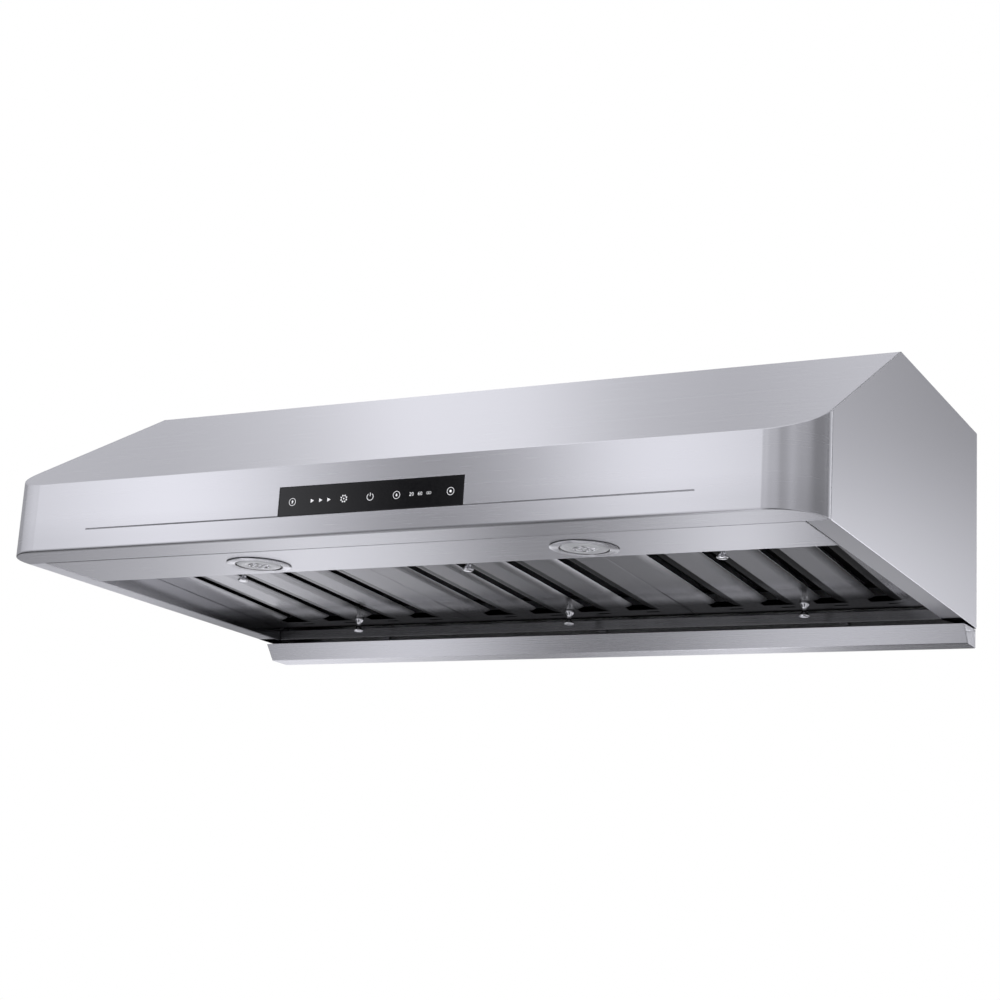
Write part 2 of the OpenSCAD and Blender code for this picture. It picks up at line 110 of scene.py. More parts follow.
def wramp(fac, stops, name, blue=1.0):
    n = wnode("ShaderNodeValToRGB", name=name)
    r = n.color_ramp
    r.interpolation = "LINEAR"
    while len(r.elements) < len(stops):
        r.elements.new(0.5)
    for e, (p, v) in zip(r.elements, sorted(stops)):
        e.position = p
        e.color = (v, v, v * blue, 1)
    wt.links.new(fac, n.inputs[0])
    return n.outputs[0]


# bands: name -> (centre angle, [(x part, brightness)...])
XS = [-1, -.8, -.7, -.64, -.59, -.54, -.49, -.44, -.39, -.34, -.29, -.2, 0, .12, .2, .26, .32, .38, .44, .5, .58, .66, .76, .88, 1]
BANDS = {
    "front": (163, [0.78, 0.89, 0.89, 0.8, 1.64, 0.87, 0, 0.41, 1.5, 1.02, 0.55, 0.73, 0.61, 0.63, 0.6, 0.56, 0.47, 0.41, 0.45, 0.45, 0.47, 0.56, 0.4, 0.18, 0]),
    "top": (40, [0.49, 0.42, 0.53, 0.58, 0.54, 0.71, 1.08, 0.97, 0.54, 0.4, 0.59, 0.69, 0.14, 0, 0, 0.18, 0.97, 1.03, 0.45, 0, 0.31, 0.43, 0.29, 0.31, 0.29]),
    "crown": (101, [0.69, 0.82, 0.83, 0.76, 0.77, 0.93, 1.21, 1.4, 1.28, 1.15, 1.15, 1.2, 1.09, 0.96, 0.82, 0.7, 0.61, 0.61, 0.72, 0.97, 1.33, 1.51, 1.36, 0.73, 0.01]),
    "wall": (-14, [0.12, 0.39, 0.55, 0.71, 0.84, 1.68, 1.29, 0.57, 0.58, 0.8, 0.67, 0.48, 0.06, 0, 0, 0.56, 1.79, 2.2, 1.41, 0.47, 0.16, 0.21, 0.16, 0.11, 0]),
    "counter": (-19, [0.1, 0, 0.02, 0.4, 0.92, 0.17, 0, 0, 0, 0, 0.11, 0, 0.15, 0.41, 0.99, 1.62, 2.17, 2.2, 1.57, 1.01, 0.58, 0.39, 0.34, 0.34, 0.36]),
    "knee": (-60, [0.16, 0, 0, 0.39, 0.34, 1.31, 0.95, 0.04, 0.69, 1.86, 0, 0, 0, 0, 0, 0.4, 1.09, 1.58, 1.28, 0.88, 0.51, 0.34, 0.27, 0.25, 0.26]),
    "low": (-115, [0.07, 0.1, 0.08, 0, 0, 0.46, 1.39, 0.1, 0, 0.62, 0.98, 0.23, 0, 0.01, 0.11, 0.22, 0.33, 0.42, 0.47, 0.5, 0.51, 0.52, 0.51, 0.51, 0.5]),
}
coord = wnode("ShaderNodeTexCoord")
sep = wnode("ShaderNodeSeparateXYZ")
wt.links.new(coord.outputs["Generated"], sep.inputs[0])
phi = wmath("ARCTAN2", sep.outputs["Z"], sep.outputs["Y"])
phi01 = wmath("ADD", wmath("DIVIDE", phi, 2 * math.pi), 0.5)
xpart = wmath("ADD", wmath("MULTIPLY", sep.outputs["X"], 0.5), 0.5)
# where one band turns into the next, in degrees of PHI
TURNS = [("wall", "top", 10.5, 18.5), ("top", "crown", 66, 84), ("crown", "front", 120, 138), ("front", "low", 183, 225), ("low", "knee", 260, 277),
         ("knee", "counter", 335.5, 338.5), ("counter", "wall", 343, 345.5)]


def weight(k, a):
    for below, above, lo, hi in TURNS:
        for s in (-360, 0, 360):
            t = (a + s - lo) / (hi - lo)
            if 0 <= t < 1:
                t = t * t * (3 - 2 * t)
                return t if k == above else (1 - t if k == below else 0.0)
    for i, (below, above, lo, hi) in enumerate(TURNS):
        for s in (-360, 0, 360):
            if hi <= a + s < TURNS[(i + 1) % 7][2] + (360 if i == 6 else 0):
                return 1.0 if k == above else 0.0
    return 0.0


total = None
for k in BANDS:
    at = sorted({-180.0, 180.0} | {round(t, 3) for _, _, lo, hi in TURNS for j in range(9)
                                   for t in [(lo + (hi - lo) * j / 8 + 180) % 360 - 180]
                                   if any(k in (q[0], q[1]) and q[2] == lo for q in TURNS)})
    w = wramp(phi01, [((a + 180) / 360, weight(k, a)) for a in at], "weight_" + k)
    v = wramp(xpart, [(0.5 + x / 2, b) for x, b in zip(XS, BANDS[k][1])], "band_" + k, 1.055)
    m = wnode("ShaderNodeMix", data_type="RGBA", blend_type="MULTIPLY")
    m.inputs["Factor"].default_value = 1
    wt.links.new(w, m.inputs["A"])
    wt.links.new(v, m.inputs["B"])
    if total is None:
        total = m.outputs["Result"]
    else:
        a = wnode("ShaderNodeMix", data_type="RGBA", blend_type="ADD")
        a.inputs["Factor"].default_value = 1
        wt.links.new(total, a.inputs["A"])
        wt.links.new(m.outputs["Result"], a.inputs["B"])
        total = a.outputs["Result"]
lights = wnode("ShaderNodeBackground", name="lights")
wt.links.new(total, lights.inputs["Color"])
backdrop = wnode("ShaderNodeBackground", name="backdrop")
backdrop.inputs["Color"].default_value = (1, 1, 1, 1)
path = wnode("ShaderNodeLightPath")
mix = wnode("ShaderNodeMixShader")
wt.links.new(path.outputs["Is Camera Ray"], mix.inputs["Fac"])
wt.links.new(lights.outputs[0], mix.inputs[1])
wt.links.new(backdrop.outputs[0], mix.inputs[2])
out = wnode("ShaderNodeOutputWorld")
wt.links.new(mix.outputs[0], out.inputs["Surface"])


# ---------------------------------------------------------------- materials
class Mat:
    """One procedural material; object coordinates are the row frame in metres."""

    def __init__(self, name):
        self.m = bpy.data.materials.new(name)
        self.m.use_nodes = True
        self.t = self.m.node_tree
        self.t.nodes.clear()
        self.out = self.t.nodes.new("ShaderNodeOutputMaterial")
        self.b = self.t.nodes.new("ShaderNodeBsdfPrincipled")
        self.t.links.new(self.b.outputs[0], self.out.inputs[0])
        self.pos = self.t.nodes.new("ShaderNodeTexCoord").outputs["Object"]
        self.geo = self.t.nodes.new("ShaderNodeNewGeometry")

    def put(self, socket, v):
        if isinstance(v, bpy.types.NodeSocket):
            self.t.links.new(v, socket)
        elif isinstance(v, (tuple, list)) and len(v) == 3 and socket.type == "RGBA":
            socket.default_value = (*v, 1)
        else:
            socket.default_value = v

    def set(self, **kw):
        names = {k.lower().replace(" ", "_"): k for k in self.b.inputs.keys()}
        for k, v in kw.items():
            self.put(self.b.inputs[names[k]], v)
        return self

    def math(self, op, a, b=0.0, clamp=False):
        n = self.t.nodes.new("ShaderNodeMath")
        n.operation = op
        n.use_clamp = clamp
        self.put(n.inputs[0], a)
        self.put(n.inputs[1], b)
        return n.outputs[0]

    def vec(self, op, a, b=(0, 0, 0), scale=None):
        n = self.t.nodes.new("ShaderNodeVectorMath")
        n.operation = op
        self.put(n.inputs[0], a)
        if op != "NORMALIZE":
            self.put(n.inputs[1], b)
        if scale is not None:
            self.put(n.inputs["Scale"], scale)
        return n.outputs[1] if op in ("DOT_PRODUCT", "LENGTH") else n.outputs[0]

    def mix(self, f, a, b, kind="RGBA", blend="MIX"):
        n = self.t.nodes.new("ShaderNodeMix")
        n.data_type = kind
        if kind == "RGBA":
            n.blend_type = blend
        self.put(n.inputs[0], f)
        ia, ib = {"RGBA": (6, 7), "FLOAT": (2, 3), "VECTOR": (4, 5)}[kind]
        self.put(n.inputs[ia], a)
        self.put(n.inputs[ib], b)
        return n.outputs[{"RGBA": 2, "FLOAT": 0, "VECTOR": 1}[kind]]

    def noise(self, at, scale=1.0, detail=3.0, rough=0.5):
        n = self.t.nodes.new("ShaderNodeTexNoise")
        n.inputs["Scale"].default_value = scale
        n.inputs["Detail"].default_value = detail
        n.inputs["Roughness"].default_value = rough
        self.put(n.inputs["Vector"], at)
        return n.outputs[0]

    def ramp(self, f, stops):
        n = self.t.nodes.new("ShaderNodeValToRGB")
        r = n.color_ramp
        while len(r.elements) < len(stops):
            r.elements.new(0.5)
        for e, (p, c) in zip(r.elements, sorted(stops)):
            e.position = p
            e.color = (*(c if isinstance(c, tuple) else (c, c, c)), 1)
        self.put(n.inputs[0], f)
        return n.outputs[0]

    def rescale(self, f, lo, hi, a=0.0, b=1.0):
        n = self.t.nodes.new("ShaderNodeMapRange")
        self.put(n.inputs[0], f)
        for i, v in enumerate((lo, hi, a, b)):
            n.inputs[i + 1].default_value = v
        return n.outputs[0]

    def bump(self, h, dist, strength=1.0, normal=None):
        n = self.t.nodes.new("ShaderNodeBump")
        n.inputs["Strength"].default_value = strength
        n.inputs["Distance"].default_value = dist
        self.put(n.inputs["Height"], h)
        if normal is not None:
            self.put(n.inputs["Normal"], normal)
        return n.outputs[0]

    def xyz(self, v):
        n = self.t.nodes.new("ShaderNodeSeparateXYZ")
        self.put(n.inputs[0], v)
        return n.outputs

    def combine(self, x, y, z):
        n = self.t.nodes.new("ShaderNodeCombineXYZ")
        for i, v in enumerate((x, y, z)):
            self.put(n.inputs[i], v)
        return n.outputs[0]


def brushed(name, tint=(0.70, 0.70, 0.725), rough=0.27, aniso=0.95, grain="x", streak=1.0, centre=None,
            level=None, painted_shade=(), ease=None):
    """Brushed sheet. grain: x or y along that axis, wrap along the front and round its corners,
    spin round a lamp's axis. level: (roughness, anisotropy) of level faces. painted_shade: (factor, (axis, from, to),
    ...),
    painted shade, a darkening of the colour that grows from nothing to the factor between two places in mm on each
    axis. ease: (lean, tone, tone), how much of their sideways lean the folded strips show in their shading, and the
    painted shade (a darker tone and less metal) on those that face left, on the left filter and on the right one."""
    m = Mat(name)
    normal = m.geo.outputs["Normal"]
    nz = m.math("ABSOLUTE", m.xyz(normal)[2])
    flat = m.math("GREATER_THAN", nz, 0.6)
    fine, long_ = 2400.0, 16.0
    if grain == "wrap":
        tangent = m.mix(flat, (0.001, 0.002, 1.0), (0.001, 1.0, 0.002), "VECTOR")
        size = m.mix(flat, (long_, long_, fine), (long_, fine, fine), "VECTOR")
    elif grain == "x":
        tangent = m.vec("ADD", m.vec("CROSS_PRODUCT", normal, (1, 0, 0)), (0.002, 0.001, 0.0015))
        size = (long_, fine, fine)
    elif grain == "z":
        tangent = m.mix(flat, m.vec("ADD", m.vec("CROSS_PRODUCT", normal, (0, 0, 1)), (0.002, 0.001, 0.0015)), (1.0, 0.002, 0.001), "VECTOR")
        size = m.mix(flat, (fine, fine, long_), (fine, long_, fine), "VECTOR")
    elif grain == "y":
        tangent = m.vec("ADD", m.vec("CROSS_PRODUCT", normal, (0, 1, 0)), (0.002, 0.001, 0.0015))
        size = (fine, long_, fine)
    else:
        p = m.xyz(m.pos)
        side = m.math("SIGN", p[0])
        x = m.math("SUBTRACT", m.math("ABSOLUTE", p[0]), centre.x)
        y = m.math("SUBTRACT", p[1], centre.y)
        tangent = m.combine(m.math("MULTIPLY", x, side), y, 0.0)
        r = m.vec("LENGTH", tangent)
        a = m.math("ARCTAN2", y, x)
        at = m.combine(m.math("MULTIPLY", a, 0.35), m.math("MULTIPLY", r, fine), 0.0)
        size = None
    at = m.vec("MULTIPLY", m.pos, size) if size is not None else at
    lines = m.noise(at, 1.0, 4.0, 0.65)
    wide = m.noise(m.vec("MULTIPLY", at, (0.3, 0.12, 0.12) if grain != "y" else (0.12, 0.3, 0.12)), 1.0, 2.0)
    tone = m.math("ADD", m.math("MULTIPLY", lines, 0.7), m.math("MULTIPLY", wide, 0.3))
    shade = m.rescale(tone, 0.3, 0.7, 1 - 0.02 * streak, 1 + 0.02 * streak)
    # painted shade: each entry darkens the colour towards its factor as its ramps grow
    for factor, *ramps in painted_shade:
        t = None
        for axis, lo, hi in ramps:
            lo, hi = P(lo, lo, lo)[axis], P(hi, hi, hi)[axis]
            one = m.rescale(m.xyz(m.pos)[axis], min(lo, hi), max(lo, hi), float(lo > hi), float(lo < hi))
            t = one if t is None else m.math("MULTIPLY", t, one)
        shade = m.math("MULTIPLY", shade, m.rescale(t, 0.0, 1.0, 1.0, factor))
    eased, metal = None, 1.0
    if ease:
        nx, ny, up = m.xyz(normal)
        lean = m.math("ABSOLUTE", nx)
        eased = m.vec("NORMALIZE", m.combine(m.math("MULTIPLY", nx, m.rescale(lean, 0.6, 0.8, ease[0], 1.0)), ny, up))
        # painted shade: strips that face left get the given darker tone and less metal
        left = m.math("MULTIPLY", m.rescale(nx, -0.07, -0.015, 1.0, 0.0), m.rescale(lean, 0.6, 0.7, 1.0, 0.0))
        side = m.xyz(m.pos)[0]
        shade = m.math("MULTIPLY", shade, m.mix(left, 1.0, m.rescale(side, -0.3, 0.15, ease[1], ease[2]), "FLOAT"))
        metal = m.mix(left, 1.0, m.rescale(side, -0.3, 0.15, 0.9, 0.3), "FLOAT")
    colour = m.mix(1.0, tint, m.combine(shade, shade, shade), "RGBA", "MULTIPLY")
    r = m.rescale(tone, 0.3, 0.7, rough - 0.012 * streak, rough + 0.012 * streak)
    if level:
        r = m.math("ADD", r, m.math("MULTIPLY", flat, level[0] - rough))
        aniso = m.mix(flat, aniso, level[1], "FLOAT")
    m.set(base_color=colour, metallic=metal, specular_ior_level=0.0, anisotropic=aniso, roughness=r,
          tangent=tangent, normal=m.bump(lines, 0.0000012 * streak, normal=eased))
    return m.m


def plain_metal(name, tint, rough, grit=0.04, scale=300.0, metallic=1.0):
    m = Mat(name)
    n = m.noise(m.pos, scale, 4.0, 0.6)
    shade = m.rescale(n, 0.3, 0.7, 1 - grit, 1 + grit)
    colour = m.mix(1.0, tint, m.combine(shade, shade, shade), "RGBA", "MULTIPLY")
    m.set(base_color=colour, metallic=metallic, roughness=m.rescale(n, 0.3, 0.7, rough - 0.04, rough + 0.04))
    return m.m


def plastic(name, tint, rough, bump=0.00003, scale=900.0):
    m = Mat(name)
    n = m.noise(m.pos, scale, 3.0, 0.6)
    m.set(base_color=m.mix(m.rescale(n, 0.3, 0.7, 0.0, 0.35), tint, tuple(min(1, c * 1.25 + 0.003) for c in tint)),
          roughness=m.rescale(n, 0.3, 0.7, rough - 0.05, rough + 0.05), normal=m.bump(n, bump))
    return m.m


LAMP = P(187, 104, 0)
M = {
    # fascia: painted shade that darkens it towards the bottom, a painted dark line along its bottom bend that fades out
    # towards the right end, and a thin painted dark line across the front at 21 mm, the shade of an engraved groove
    "fascia": brushed("fascia_steel", grain="wrap", streak=0.5,
                      painted_shade=[(0.92, (2, 36, 12)), (0.42, (2, 2.6, 1.0), (1, 6, 3.5), (0, 440, 260)),
                           (0.55, (2, 20.6, 20.9), (2, 22.0, 21.7), (0, -336, -335), (0, 341, 340), (1, 10, 5))]),
    "slope": brushed("slope_steel", grain="x", streak=0.5),
    # side: painted shade darkens the left panel, all but its outer face, towards the rear
    "side": brushed("side_steel", grain="z", rough=0.21, aniso=0.7, level=(0.31, 0.95),
                    painted_shade=[(0.4, (1, 220, 420), (0, -449.8, -449.2), (0, 0, -10))]),
    # panel: painted shade, a dark strip along its front edge by the fascia, deepening towards the left
    "panel": brushed("panel_steel", grain="x", streak=0.5, painted_shade=[(0.45, (1, 54, 50), (0, 150, -300))]),
    "tray": brushed("tray_steel", grain="x"),
    # rail: its steel tinted far darker than the shell's, as painted shade
    "rail": brushed("rail_steel", grain="x", tint=(0.17, 0.17, 0.175)),
    "back": brushed("back_sheet", grain="x", tint=(0.5, 0.5, 0.51), rough=0.45),
    # filter: painted shade darkens the strips towards the rear, except at the far right, and ease paints the strips
    # that face left darker and less metallic
    "filter": brushed("filter_steel", grain="y", tint=(0.6, 0.6, 0.62), rough=0.17, aniso=0.2, streak=0.5, ease=(0.15, 0.3, 0.0),
                      painted_shade=[(0.8, (1, 270, 370), (0, 390, 370)), (0.17, (1, 390, 412), (0, 390, 370)),
                           (0.15, (1, 430, 441), (0, 395, 380))]),
    # baffle: steel painted near black, the painted shade seen through the filter slots
    "baffle": plain_metal("baffle_steel", (0.03, 0.03, 0.03), 0.5),
    "bezel": brushed("lamp_bezel_steel", grain="spin", centre=LAMP),
    "chrome": plain_metal("chrome_knob", (0.85, 0.85, 0.87), 0.08, 0.01),
    "spring": plain_metal("spring_steel", (0.5, 0.5, 0.52), 0.3),
    "zinc": plain_metal("zinc_sheet", (0.5, 0.51, 0.52), 0.42, 0.12, 60.0),
    "collar": plain_metal("collar_sheet", (0.6, 0.61, 0.62), 0.38, 0.1, 70.0),
    "wheel": plain_metal("wheel_sheet", (0.6, 0.61, 0.62), 0.35),
    "shaft": plain_metal("shaft_steel", (0.55, 0.55, 0.56), 0.25),
    "sink": plain_metal("heat_sink", (0.35, 0.36, 0.37), 0.5),
    "motor": plastic("motor_enamel", (0.02, 0.02, 0.022), 0.4),
    "black": plastic("black_plastic", (0.012, 0.012, 0.013), 0.45),
    "white": plastic("white_plastic", (0.75, 0.75, 0.73), 0.4),
    "cable": plastic("cable_jacket", (0.015, 0.015, 0.015), 0.55),
    "board": plastic("circuit_board", (0.02, 0.12, 0.06), 0.5),
    "lens": plastic("lamp_lens_glass", (0.8, 0.81, 0.82), 0.25),
    "glass": plastic("black_glass", (0.007, 0.007, 0.008), 0.08, 0.0),
    "mark": plastic("printed_marks", (0.8, 0.8, 0.82), 0.5, 0.0),
}
# painted glow: the printed marks emit light, though they are no lamp
M["mark"].node_tree.nodes["Principled BSDF"].inputs["Emission Color"].default_value = (1, 1, 1, 1)
M["mark"].node_tree.nodes["Principled BSDF"].inputs["Emission Strength"].default_value = 0.4
BY_SLOT = {"shell_steel": "slope", "back_sheet": "back", "tray_steel": "tray", "rail_steel": "rail", "inner_sheet": "zinc",
           "lamp_bezel_steel": "bezel", "lamp_lens_glass": "lens", "circuit_board": "board", "heat_sink": "sink",
           "black_glass": "glass", "black_plastic": "black", "filter_steel": "filter", "baffle_steel": "baffle",
           "chrome_knob": "chrome", "spring_steel": "spring", "wheel_sheet": "wheel", "motor_enamel": "motor",
           "shaft_steel": "shaft", "collar_sheet": "collar", "white_plastic": "white", "cable_jacket": "cable"}
BY_NODE = {"front_fascia": "fascia", "side_panel_left": "side", "side_panel_right": "side", "light_panel": "panel"}
slot_of = {s["node"]: s["material_slot"] for s in frame["record"]["subparts"]}
for name, o in NODES.items():
    k = BY_NODE.get(name) or BY_SLOT[slot_of[name]]
    for s in o.material_slots:
        s.material = M[k]

# ---------------------------------------------------------------- finer geometry
def show(name, me, mat, body, replaces=()):
    o = bpy.data.objects.new(name, me)
    scene.collection.objects.link(o)
    if mat is not None:
        me.materials.clear()
        me.materials.append(mat)
    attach(o, body)
    if replaces:
        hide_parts(*replaces)
    return o


def soften(o, width=0.0003, segments=2, angle=28, clamp=True):
    """Weld, merge flat faces, round the sharp edges and even out the shading, all as modifiers."""
    w = o.modifiers.new("weld", "WELD")
    w.merge_threshold = 2e-5
    d = o.modifiers.new("flats", "DECIMATE")
    d.decimate_type = "DISSOLVE"
    d.angle_limit = math.radians(0.5)
    b = o.modifiers.new("edges", "BEVEL")
    b.width = width
    b.segments = segments
    b.limit_method = "ANGLE"
    b.angle_limit = math.radians(angle)
    b.use_clamp_overlap = clamp
    n = o.modifiers.new("shading", "WEIGHTED_NORMAL")
    n.weight = 80


def body_name(node):
    return NODES[node].parent.name.split(":", 1)[1]


def skin(node, bend=0.001, cut=0.0004, thin=0.0017, angle=28):
    """The node's sheet with its bends at radius bend and its cut edges rounded by cut."""
    bm = bmesh.new()
    bm.from_mesh(NODES[node].data)
    bmesh.ops.remove_doubles(bm, verts=bm.verts, dist=2e-5)
    bmesh.ops.dissolve_limit(bm, angle_limit=math.radians(0.5), verts=bm.verts, edges=bm.edges)
    bm.normal_update()
    wl = bm.edges.layers.float.new("bevel_weight_edge")
    wide = {f: 2 * f.calc_area() / f.calc_perimeter() > thin for f in bm.faces}
    for e in bm.edges:
        if len(e.link_faces) != 2:
            continue
        f, g = e.link_faces
        if f.normal.angle(g.normal, 0) > math.radians(angle):
            e[wl] = 1.0 if wide[f] and wide[g] else cut / bend
    for f in bm.faces:
        f.smooth = True
    me = bpy.data.meshes.new(node + "_sheet")
    bm.to_mesh(me)
    bm.free()
    for name in [a.name for a in me.attributes if a.name == "custom_normal"]:
        me.attributes.remove(me.attributes[name])
    o = show(node + "_sheet", me, NODES[node].data.materials[0] if NODES[node].data.materials else None,
             body_name(node), (node,))
    b = o.modifiers.new("edges", "BEVEL")
    b.width = bend
    b.segments = 3
    b.limit_method = "WEIGHT"
    b.use_clamp_overlap = False
    b.loop_slide = True
    n = o.modifiers.new("shading", "WEIGHTED_NORMAL")
    n.weight = 80
    return o


def lathe(name, rings, turn, mat, body, replaces=(), segments=64, smooth=True):
    """Solids of revolution: rings = list of closed (radius, height) outlines in millimetres, turn = their places."""
    bm = bmesh.new()
    for place in turn:
        for outline in rings:
            loops = []
            for r, h in outline:
                if r < 1e-6:
                    loops.append([bm.verts.new(place @ Vector((0, 0, h * MM)))])
                else:
                    loops.append([bm.verts.new(place @ Vector((r * MM * math.cos(2 * math.pi * i / segments),
                                                               r * MM * math.sin(2 * math.pi * i / segments), h * MM)))
                                  for i in range(segments)])
            closed = outline[0][0] > 1e-6
            for a, b in zip(loops, loops[1:] + (loops[:1] if closed else [])):
                if len(a) == 1 and len(b) == 1:
                    continue
                for i in range(segments):
                    j = (i + 1) % segments
                    q = [a[i % len(a)], a[j % len(a)], b[j % len(b)], b[i % len(b)]]
                    q = [v for k, v in enumerate(q) if v not in q[:k]]
                    if len(q) > 2:
                        bm.faces.new(q)
    bmesh.ops.recalc_face_normals(bm, faces=bm.faces)
    for f in bm.faces:
        f.smooth = smooth
    me = bpy.data.meshes.new(name)
    bm.to_mesh(me)
    bm.free()
    o = show(name, me, mat, body, replaces)
    n = o.modifiers.new("shading", "WEIGHTED_NORMAL")
    n.weight = 80
    return o


def curve(points, steps=6):
    """A smooth line through the given (radius, height) points."""
    out = []
    n = len(points)
    for i in range(n - 1):
        p0, p1, p2, p3 = points[max(0, i - 1)], points[i], points[i + 1], points[min(n - 1, i + 2)]
        for k in range(steps):
            t = k / steps
            out.append(tuple(0.5 * (2 * b + (c - a) * t + (2 * a - 5 * b + 4 * c - d) * t * t + (3 * b - a - 3 * c + d) * t ** 3)
                             for a, b, c, d in zip(p0, p1, p2, p3)))
    out.append(points[-1])
    return [(max(0.0, r), h) for r, h in out]


for node in ("front_fascia", "side_panel_left", "side_panel_right", "top_panel", "back_panel", "light_panel", "rear_rail", "oil_tray"):
    skin(node)
SIDES = ("left", "centre", "right")
for k in SIDES:
    skin(f"filter_{k}_face", bend=0.0005, cut=0.0003, thin=0.0013)
for node in ("outlet_manifold", "junction_box", "junction_box_cover", "power_module", "duct_collar", "control_housing",
             "volute_base_left", "volute_base_right", "volute_scroll_left", "volute_scroll_right",
             "volute_cover_left", "volute_cover_right", "hinge_rail", "hinge_lugs", "tray_clips", "capacitors",
             "motor_left", "motor_right", "lamp_housing_left", "lamp_housing_right", "blower_posts",
             *(f"filter_{k}_{w}" for k in SIDES for w in ("baffles", "catch"))):
    soften(NODES[node])

# pull knobs
F_PITCH, F_TILT, HINGE, DROP = 284.6, math.atan(0.0385), (508.0, 20.271), 5.2
KNOB_L = 16.5
shaft_line = curve([(5.3, -3.0), (4.3, -4.3), (3.2, -6.0), (2.75, -8.2), (2.85, -10.2), (3.6, -12.3), (4.9, -13.9)], 4)
knob = [[(0, 0), (5.2, 0), (5.55, -0.3), (5.6, -0.7), (5.6, -2.3)] + shaft_line +
        [(5.7, -14.4), (5.98, -15.0), (5.95, -15.7), (5.5, -16.25), (4.7, -KNOB_L + 0.02), (0, -KNOB_L + 0.02)],
        [(0, 8), (1.7, 8), (2, 7.7), (2, 0.2), (0, 0.2)], [(0, 4.2), (3.7, 4.2), (4, 3.9), (4, 1), (0, 1)]]
for i, k in enumerate(SIDES):
    base = Matrix.Translation(P((i - 1) * F_PITCH, *HINGE)) @ Matrix.Rotation(-F_TILT, 4, "X")
    lathe(f"pull_knobs_{k}", knob, [base @ Matrix.Translation(Vector((0, y * MM, -DROP * MM))) for y in (-290.2, -38)],
          M["chrome"], f"filter_{k}", (f"filter_{k}_knobs",), 48)

# lamps: bezel on its black seal, which also stands in for the shadow under the bezel's rim, lens in its seat, and the
# light source in the middle
for s, k in ((-1, "left"), (1, "right")):
    at = Matrix.Translation(P(s * 187, 104, 0))
    bezel = curve([(24.65, -1.05), (24.9, -1.42), (25.6, -1.6), (27.5, -1.62), (30, -1.58), (32.2, -1.48), (33.5, -1.3), (34.0, -1.0), (33.9, -0.72)], 3)
    lathe(f"bezel_ring_{k}", [[(24.65, -0.6)] + bezel + [(30.6, -0.7), (30.6, 12), (29.4, 12), (29.4, -0.6)]],
          [at], M["bezel"], "hood", (f"lamp_bezel_{k}",), 96)
    # black seal ring under the bezel: a seal, and also the painted shadow of the gap round the bezel
    lathe(f"bezel_seal_{k}", [[(30.7, -0.68), (33.6, -0.68), (33.75, -0.5), (33.8, 0), (30.7, 0)]], [at], M["black"], "hood",
          (), 96)
    face = curve([(0, -1.5), (4, -1.5), (8.2, -1.55), (9.7, -1.85), (10.4, -1.85), (10.9, -1.4), (11.5, -1.3), (12.2, -1.5), (13.2, -1.75),
                  (16, -1.95), (19, -1.85), (21.6, -1.45), (23.2, -1.0), (24.0, -0.5)], 3)
    lathe(f"lens_dome_{k}", [face + [(24.0, 0.5), (28.6, 0.8), (28.6, 1.8), (22, 1.8), (22, 0.4), (0, 0.4)]],
          [at], M["lens"], "hood", (f"lamp_lens_{k}",), 96)
    lathe(f"lens_seat_{k}", [[(24.1, -0.1), (24.35, -0.35), (24.6, -1.3), (24.64, -1.3), (24.64, -0.62), (29.3, -0.5), (29.3, 0.4), (24.1, 0.4)]],
          [at], M["black"], "hood", (), 96)
    leds = []
    for a in range(6):
        t = math.radians(60 * a + 15)
        leds.append(at @ Matrix.Translation(Vector((6.0 * MM * math.cos(t), 6.0 * MM * math.sin(t), 0))))
    lathe(f"lens_beads_{k}", [curve([(0, -2.5), (1.1, -2.42), (2.0, -2.1), (2.5, -1.5)], 3) + [(2.5, -1.2), (0, -1.2)]],
          leds, M["chrome"], "hood", (), 20)
    lathe(f"lens_rim_{k}", [curve([(8.6, -1.5), (9.0, -2.0), (9.7, -2.3), (10.4, -2.2), (10.9, -1.4)], 3) + [(10.8, -1.2), (8.7, -1.2)]],
          [at], M["chrome"], "hood", (), 64)

# control glass, a little back from the fascia, with its printed marks
GX, GZ = 5.0, 36.0
bm = bmesh.new()
bmesh.ops.create_cube(bm, size=1)
for v in bm.verts:
    v.co = P(GX + v.co.x * 206, 1.65 + v.co.y * 2.7, GZ + v.co.z * 29)
me = bpy.data.meshes.new("touch_glass")
for f in bm.faces:
    f.smooth = True
bm.to_mesh(me)
bm.free()
glass = show("touch_glass", me, M["glass"], "hood", ("control_glass",))
b = glass.modifiers.new("edges", "BEVEL")
b.width = 0.0005
b.segments = 3
n = glass.modifiers.new("shading", "WEIGHTED_NORMAL")
n.weight = 80

marks = []


def stroke(points, w, shut=False):
    """Short plates along a line, one for each stretch between two points."""
    pts = points + points[:1] if shut else points
    for (x0, z0), (x1, z1) in zip(pts, pts[1:]):
        d = math.hypot(x1 - x0, z1 - z0)
        nx, nz = -(z1 - z0) / d * w / 2, (x1 - x0) / d * w / 2
        marks.append([(x0 + nx, z0 + nz), (x0 - nx, z0 - nz), (x1 - nx, z1 - nz), (x1 + nx, z1 + nz)])


def dot(x, z, r, rz=None, n=16):
    rz = rz or r
    marks.append([(x + r * math.cos(2 * math.pi * i / n), z + rz * math.sin(2 * math.pi * i / n)) for i in range(n)])


def arc(x, z, r, w, a0=0, a1=360, rz=None, n=28):
    rz = rz or r
    t = [math.radians(a0 + (a1 - a0) * i / n) for i in range(n + 1)]
    for p, q in zip(t, t[1:]):
        marks.append([(x + (r - w / 2) * math.cos(p), z + (rz - w / 2) * math.sin(p)), (x + (r + w / 2) * math.cos(p), z + (rz + w / 2) * math.sin(p)),
                      (x + (r + w / 2) * math.cos(q), z + (rz + w / 2) * math.sin(q)), (x + (r - w / 2) * math.cos(q), z + (rz - w / 2) * math.sin(q))])


W = 0.5
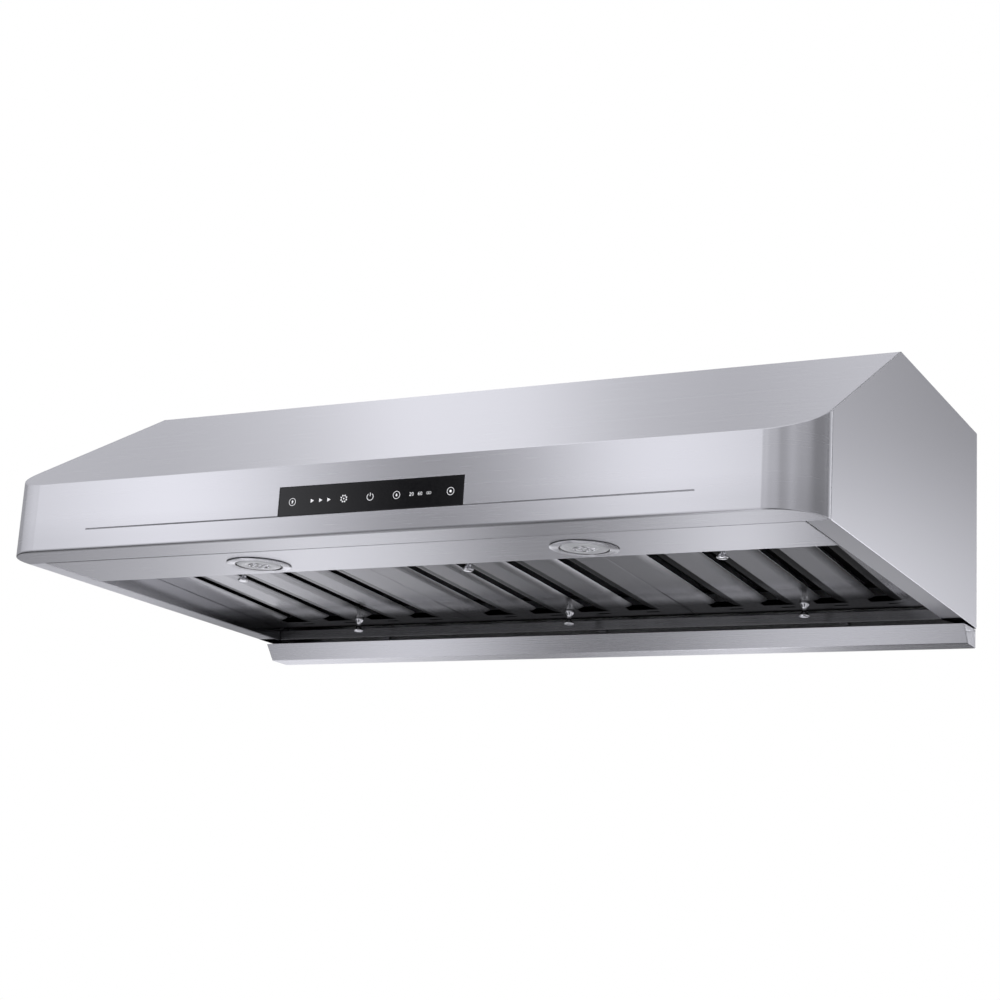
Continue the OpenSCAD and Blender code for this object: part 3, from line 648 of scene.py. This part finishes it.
# light
x, z = -82.5, 35.3
arc(x, z, 3.65, W)
dot(x + 0.15, z + 0.45, 0.95, 1.15)
stroke([(x, z - 0.3), (x - 0.35, z - 1.75)], 0.7)
# speed, three steps
for x in (-59.4, -49.8, -40.4):
    marks.append([(x - 1.8, z + 1.95), (x - 1.8, z - 1.95), (x + 2.0, z)])
# fan
x = -23.5
for i in range(8):
    t = 2 * math.pi * (i + 0.5) / 8
    dot(x + 3.35 * math.cos(t), z + 3.35 * math.sin(t), 0.68, n=10)
arc(x, z, 2.75, 0.3)
dot(x, z, 0.75)
# power
x = 6.1
arc(x, z, 3.45, W + 0.1, -235, 55)
stroke([(x, z + 4.1), (x, z + 0.6)], 0.65)
# cleaning
x = 35.4
arc(x, z, 3.65, W)
marks.append([(x, z + 1.9), (x - 0.95, z - 0.2), (x - 0.85, z - 1.0), (x, z - 1.5), (x + 0.85, z - 1.0), (x + 0.95, z - 0.2)])
# minutes: 20, 60 and no limit
for x, digits in ((51.9, "20"), (61.2, "60")):
    for c, dx in zip(digits, (-1.3, 1.3)):
        if c == "2":
            stroke([(x + dx - 0.85, z + 0.9), (x + dx - 0.4, z + 1.55), (x + dx + 0.4, z + 1.55), (x + dx + 0.85, z + 0.9),
                    (x + dx + 0.6, z + 0.2), (x + dx - 0.9, z - 1.55), (x + dx + 0.95, z - 1.55)], 0.42)
        elif c == "6":
            arc(x + dx, z - 0.65, 0.8, 0.42, rz=0.9, n=16)
            stroke([(x + dx - 0.8, z - 0.6), (x + dx - 0.55, z + 0.6), (x + dx + 0.45, z + 1.6)], 0.42)
        else:
            arc(x + dx, z, 0.8, 0.42, rz=1.55, n=18)
for dx in (-1.2, 1.2):
    arc(70.7 + dx, z, 1.15, 0.36, n=16)
# delay
x = 94.1
arc(x, z + 0.2, 3.65, W)
dot(x, z + 0.2, 0.8)
for i in range(8):
    t = math.pi * i / 4
    stroke([(x, z + 0.2), (x + 1.55 * math.cos(t), z + 0.2 + 1.55 * math.sin(t))], 0.35)
bm = bmesh.new()
for poly in marks:
    area = sum(a[0] * b[1] - b[0] * a[1] for a, b in zip(poly, poly[1:] + poly[:1]))
    poly = poly if area > 0 else poly[::-1]
    front = [bm.verts.new(P(x, 0.18, z)) for x, z in poly]
    back_ = [bm.verts.new(P(x, 0.31, z)) for x, z in poly]
    bm.faces.new(front)
    bm.faces.new(back_[::-1])
    for i in range(len(poly)):
        j = (i + 1) % len(poly)
        bm.faces.new([front[j], front[i], back_[i], back_[j]])
me = bpy.data.meshes.new("control_marks")
bm.to_mesh(me)
bm.free()
show("control_marks", me, M["mark"], "hood", ())

# ---------------------------------------------------------------- floor
me = bpy.data.meshes.new("floor")
bm = bmesh.new()
bmesh.ops.create_circle(bm, cap_ends=True, segments=96, radius=8)
bm.to_mesh(me)
bm.free()
floor = bpy.data.objects.new("floor", me)
scene.collection.objects.link(floor)
floor.location = (0, 0, -2.7)
floor.visible_glossy = False
floor.visible_diffuse = False
floor.visible_shadow = False
fm = Mat("floor")
n = fm.noise(fm.pos, 3.0, 2.0)
fm.set(base_color=fm.mix(n, (0.86, 0.86, 0.86), (0.9, 0.9, 0.9)), roughness=0.9, emission_color=(1, 1, 1), emission_strength=0.42)
me.materials.append(fm.m)
